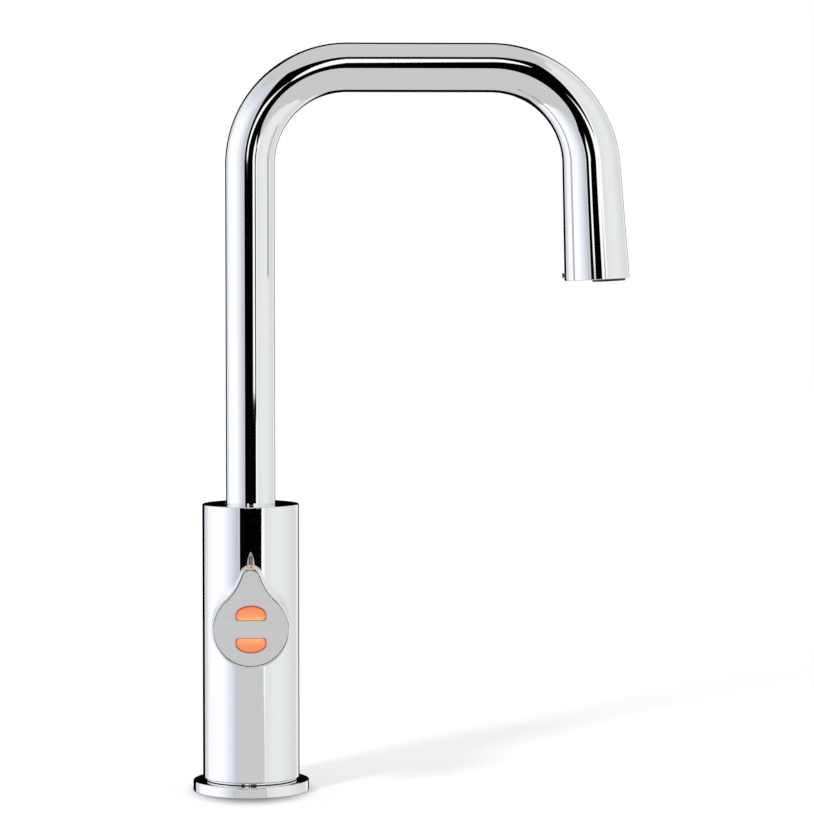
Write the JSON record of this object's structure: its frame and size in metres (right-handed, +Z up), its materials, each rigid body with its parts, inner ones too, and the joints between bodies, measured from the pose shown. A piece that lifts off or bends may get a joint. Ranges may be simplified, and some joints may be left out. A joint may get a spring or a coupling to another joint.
{
  "type": "boiling water tap",
  "caption": "Chromed boiling water tap with a swivel square-cornered spout that flares at its end, a drop-shaped turning lever with lit push buttons, and worktop clamp fixings.",
  "frame": {"origin": "on the tap's upright axis, at the worktop's surface", "axes": "+Z up the tap's axis, +X along the spout at rest, -Y towards the user, where the lever is"},
  "size_m": [0.2262, 0.0981, 0.4514],
  "materials": {
    "chrome": "polished chrome plate",
    "satin_chrome": "satin chrome plate",
    "brass": "turned brass",
    "steel": "machined stainless steel",
    "black_plastic": "fine moulded",
    "white_plastic": "plain moulded acetal",
    "water_tube": "food-grade tube",
    "rubber": "moulded rubber",
    "lit_lens": "back-lit translucent plastic",
    "circuit_board": "green solder mask"
  },
  "bodies": {
    "tap_body": {"base_flange": "chrome", "base_gasket": "rubber", "carrier_ring": "chrome", "body_shell": "chrome", "control_boss": "chrome", "threaded_shank": "brass", "clamp_gasket": "rubber", "clamp_plate": "steel", "lock_nut": "brass", "inlet_manifold": "brass", "boiling_inlet": "brass", "chilled_inlet": "brass", "cable_gland": "rubber", "boiling_pipe": "steel", "chilled_pipe": "steel", "head_block": "brass", "swivel_post": "brass", "lower_o_ring": "rubber", "upper_o_ring": "rubber", "thrust_washer": "white_plastic", "spout_bush": "white_plastic", "retaining_screw": "steel", "control_carrier": "white_plastic", "carrier_snap_ring": "steel", "spindle_bush": "brass", "return_spring": "steel", "sensor_board": "circuit_board"},
    "spout": {"spout_tube": "chrome", "spout_foot": "brass", "boiling_tube": "water_tube", "chilled_tube": "water_tube", "outlet_insert": "black_plastic", "flow_straightener": "white_plastic", "outlet_screw": "steel"},
    "lever": {"lever_body": "chrome", "lever_face": "satin_chrome", "pointer_lens": "lit_lens", "pointer_led": "white_plastic", "light_board": "circuit_board", "select_switch": "black_plastic", "safety_switch": "black_plastic", "lever_screw": "steel", "lever_spindle": "steel", "spindle_circlip": "steel", "spindle_magnet": "steel", "stop_pin": "steel"},
    "select_button": {"select_button": "lit_lens"},
    "safety_button": {"safety_button": "lit_lens"}
  },
  "joints": [
    {"name": "spout_swing", "type": "hinge", "parent": "tap_body", "child": "spout", "pos_m": [0, 0, 0.13], "axis": [0, 0, 1], "range_deg": [-180, 0]},
    {"name": "lever_turn", "type": "hinge", "parent": "tap_body", "child": "lever", "pos_m": [0, -0.05, 0.0916], "axis": [0, -1, 0], "range_deg": [-35, 35], "stiffness_Nm_per_rad": 0.25},
    {"name": "select_press", "type": "slide", "parent": "lever", "child": "select_button", "axis": [0, 1, 0], "range_m": [0, 0.0006], "stiffness_N_per_m": 1200, "springref_m": -0.0006},
    {"name": "safety_press", "type": "slide", "parent": "lever", "child": "safety_button", "axis": [0, 1, 0], "range_m": [0, 0.0006], "stiffness_N_per_m": 1200, "springref_m": -0.0006}
  ]
}
